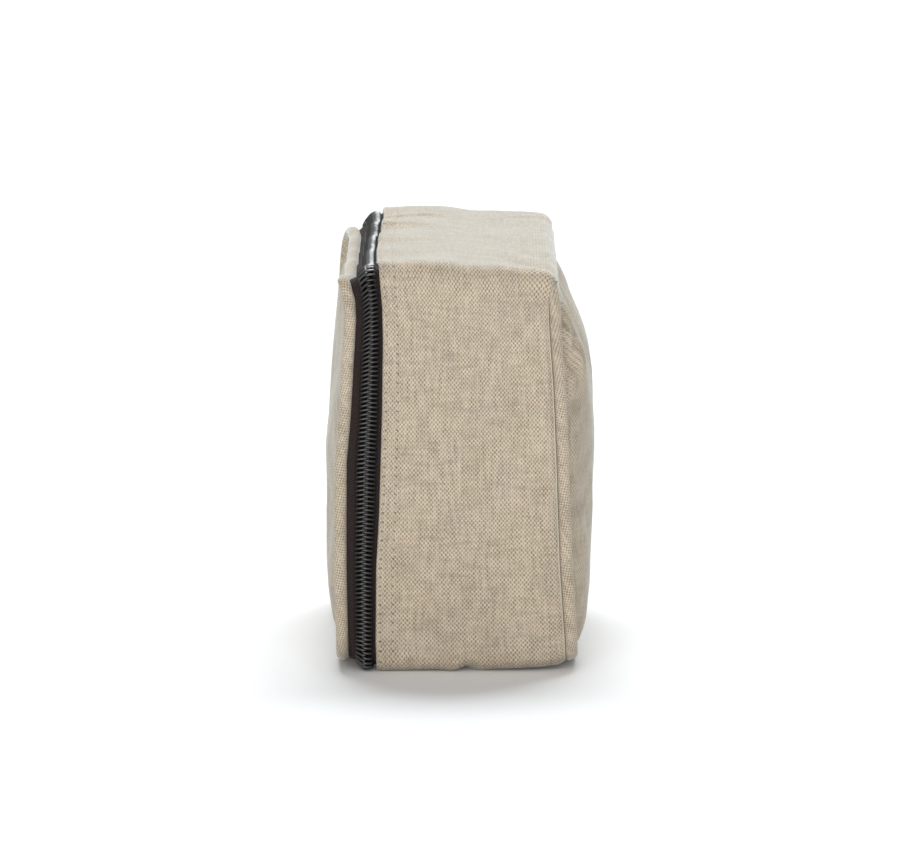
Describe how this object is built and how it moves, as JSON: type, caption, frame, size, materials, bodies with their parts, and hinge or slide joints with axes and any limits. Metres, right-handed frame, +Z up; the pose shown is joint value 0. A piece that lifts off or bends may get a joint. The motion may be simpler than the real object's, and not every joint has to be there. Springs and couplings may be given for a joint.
{
  "type": "toiletry bag",
  "caption": "Box-shaped canvas toiletry bag that stands on its base, with piped front and back panels and a zip-round front that opens as a lid.",
  "frame": {"origin": "middle of the base, on the surface that the bag stands on", "axes": "+X along the bag's length, +Y from the zipped lid to the back panel, +Z up"},
  "size_m": [0.2447, 0.106, 0.163],
  "materials": {
    "canvas": "natural plain weave",
    "piping": "bias-cut plain weave",
    "lining": "fine plain weave",
    "binding": "woven tape",
    "cord": "twisted cotton",
    "zip_tape": "herringbone tape",
    "zip_coil": "moulded, satin",
    "zip_metal": "black, satin"
  },
  "bodies": {
    "bag_body": {"gusset_outer": "canvas", "gusset_lining": "lining", "base_outer": "canvas", "base_lining": "lining", "back_panel_outer": "canvas", "back_lining": "lining", "back_piping_cover": "piping", "back_piping_cord": "cord", "back_seam_binding": "binding", "body_zip_tape": "zip_tape", "body_zip_coil": "zip_coil", "zip_tape_tail": "zip_tape", "zip_coil_tail": "zip_coil"},
    "lid": {"lid_panel_outer": "canvas", "lid_lining": "lining", "lid_piping_cover": "piping", "lid_piping_cord": "cord", "lid_seam_binding": "binding", "lid_zip_tape": "zip_tape", "lid_zip_coil": "zip_coil"},
    "slider": {"slider_body": "zip_metal", "slider_crown": "zip_metal"},
    "pull": {"pull_tab": "zip_metal"}
  },
  "joints": [
    {"name": "lid_hinge", "type": "hinge", "parent": "bag_body", "child": "lid", "pos_m": [0, -0.0483, 0.0028], "axis": [1, 0, 0], "range_deg": [0, 88]},
    {"name": "slider_travel", "type": "slide", "parent": "bag_body", "child": "slider", "axis": [0, 0, 1], "range_m": [0, 0.1137]},
    {"name": "pull_swing", "type": "hinge", "parent": "slider", "child": "pull", "pos_m": [-0.1226, -0.0384, 0.028], "axis": [0, 1, 0], "range_deg": [0, 170]}
  ]
}
